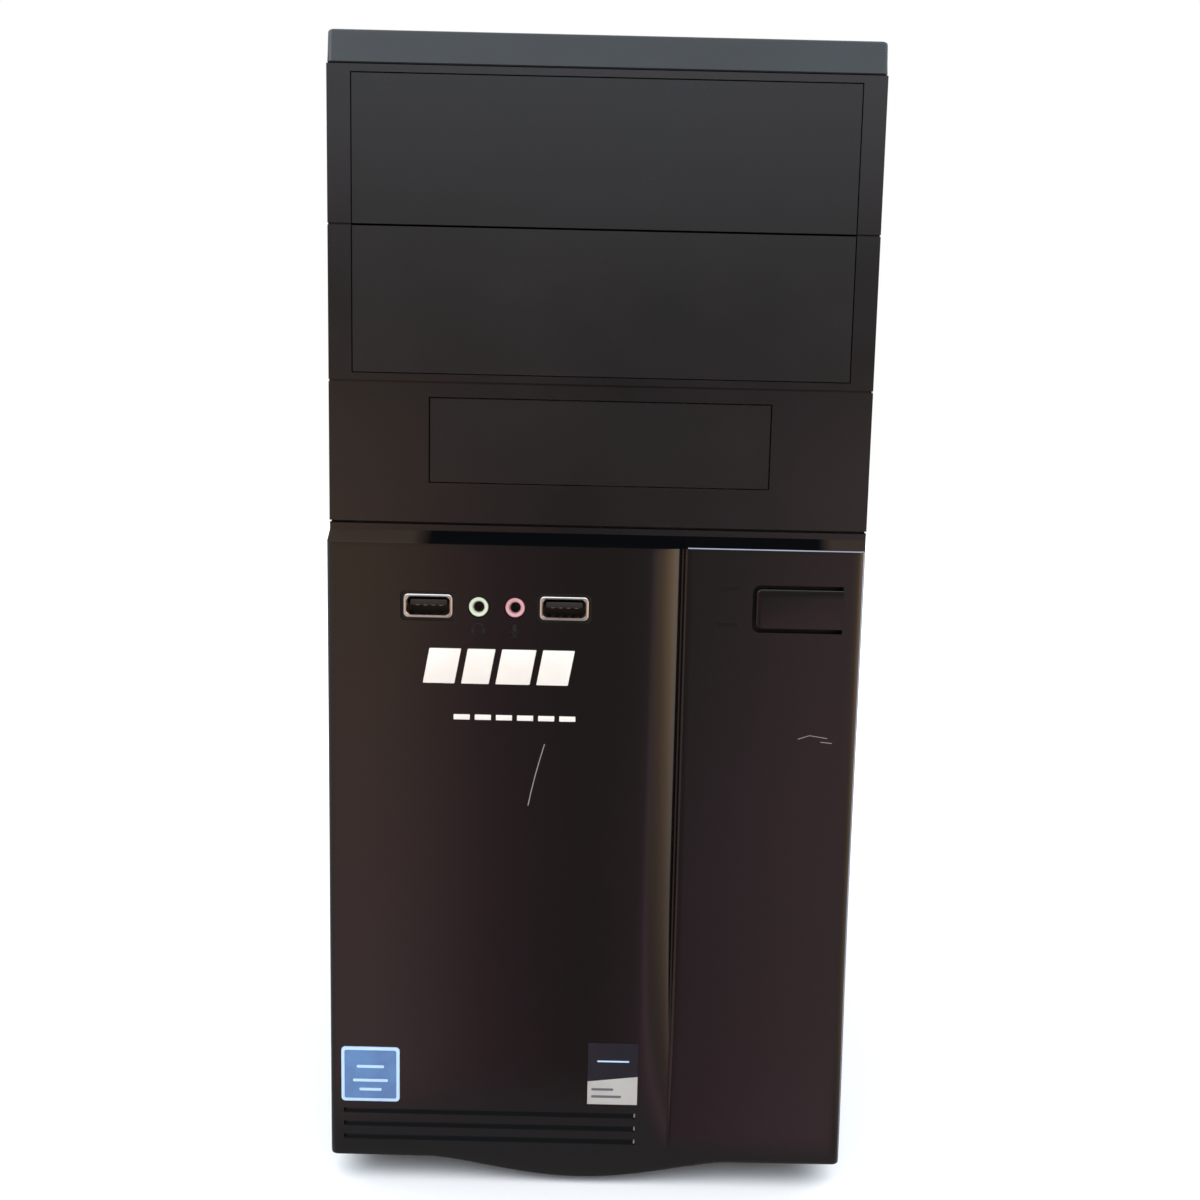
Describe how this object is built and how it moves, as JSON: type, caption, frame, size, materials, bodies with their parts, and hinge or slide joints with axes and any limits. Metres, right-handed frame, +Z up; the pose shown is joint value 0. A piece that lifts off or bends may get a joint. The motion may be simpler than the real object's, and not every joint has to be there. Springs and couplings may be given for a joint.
{
  "type": "desktop computer tower",
  "caption": "Upright mini tower desktop computer with drive bay covers, a glossy stepped lower fascia with front sockets and power button, sliding side cover and spinning fans.",
  "frame": {"origin": "on the floor, under the middle of the bounding box", "axes": "+Z up, -Y out of the front face, +Y to the back, +X to the right as seen from the front"},
  "size_m": [0.163, 0.3698, 0.352],
  "materials": {
    "matte_black_plastic": "fine textured matte",
    "gloss_black_plastic": "high gloss",
    "painted_steel": "satin black powder coat",
    "zinc_steel": "zinc plated sheet",
    "nickel": "nickel plated",
    "aluminium": "cast and extruded",
    "mint_plastic": "moulded",
    "pink_plastic": "moulded",
    "smoked_plastic": "dark tinted",
    "circuit_board": "solder resist",
    "satin_silver": "satin",
    "blue_label": "printed film",
    "grey_label": "printed film",
    "dark_plastic": "moulded",
    "rubber": "moulded",
    "black_cable": "sleeved",
    "red_cable": "sheathed"
  },
  "bodies": {
    "case": {"audio_jacks": "dark_plastic", "base_pan": "zinc_steel", "bay_cover_lower": "matte_black_plastic", "bay_cover_small": "matte_black_plastic", "bay_cover_upper": "matte_black_plastic", "bezel_frame": "matte_black_plastic", "blue_sticker": "blue_label", "chipset_heatsink": "aluminium", "cpu_fan_frame": "dark_plastic", "cpu_heatsink": "aluminium", "drive_data_cable": "red_cable", "drive_indicator": "smoked_plastic", "foot_front_left": "rubber", "foot_front_right": "rubber", "foot_rear_left": "rubber", "foot_rear_right": "rubber", "front_io_board": "circuit_board", "front_usb_left": "nickel", "front_usb_right": "nickel", "front_wall": "zinc_steel", "gloss_fascia": "gloss_black_plastic", "graphics_slot": "dark_plastic", "hard_drive": "aluminium", "hard_drive_cage": "zinc_steel", "hdmi_port": "nickel", "headphone_jack": "mint_plastic", "io_shield": "nickel", "lan_usb_stack": "nickel", "main_power_cable": "black_cable", "mains_inlet": "dark_plastic", "memory_module": "circuit_board", "microphone_jack": "pink_plastic", "motherboard": "circuit_board", "motherboard_tray": "zinc_steel", "nameplate": "satin_silver", "nameplate_bar": "satin_silver", "optical_bay_cage": "zinc_steel", "power_indicator": "smoked_plastic", "ps2_ports": "dark_plastic", "psu_fan_frame": "dark_plastic", "psu_housing": "zinc_steel", "rear_fan_frame": "dark_plastic", "rear_wall": "zinc_steel", "right_side_cover": "painted_steel", "slot_cover_1": "zinc_steel", "slot_cover_2": "zinc_steel", "slot_cover_3": "zinc_steel", "slot_cover_4": "zinc_steel", "top_cap": "matte_black_plastic", "top_plate": "painted_steel", "two_tone_sticker": "grey_label", "usb_stack": "nickel", "vga_port": "nickel"},
    "left_cover": {"left_side_cover": "painted_steel", "thumb_screw_upper": "nickel", "thumb_screw_lower": "nickel"},
    "button": {"power_button": "gloss_black_plastic"},
    "rear_rotor": {"rear_fan_rotor": "dark_plastic"},
    "psu_rotor": {"psu_fan_rotor": "dark_plastic"},
    "cpu_rotor": {"cpu_fan_rotor": "dark_plastic"}
  },
  "joints": [
    {"name": "left_cover_slide", "type": "slide", "parent": "case", "child": "left_cover", "axis": [0, 1, 0], "range_m": [0, 0.34]},
    {"name": "power_button_hinge", "type": "hinge", "parent": "case", "child": "button", "pos_m": [0.0741, -0.177, 0.18615], "axis": [0, 0, -1], "range_deg": [0, 4], "stiffness_Nm_per_rad": 0.3, "springref_deg": -2.86},
    {"name": "rear_fan_spin", "type": "hinge", "parent": "case", "child": "rear_rotor", "pos_m": [-0.0315, 0.16, 0.208], "axis": [0, 1, 0], "continuous": true},
    {"name": "psu_fan_spin", "type": "hinge", "parent": "case", "child": "psu_rotor", "pos_m": [-0.027, 0.16, 0.305], "axis": [0, 1, 0], "continuous": true},
    {"name": "cpu_fan_spin", "type": "hinge", "parent": "case", "child": "cpu_rotor", "pos_m": [0.022, 0.085, 0.205], "axis": [1, 0, 0], "continuous": true}
  ]
}
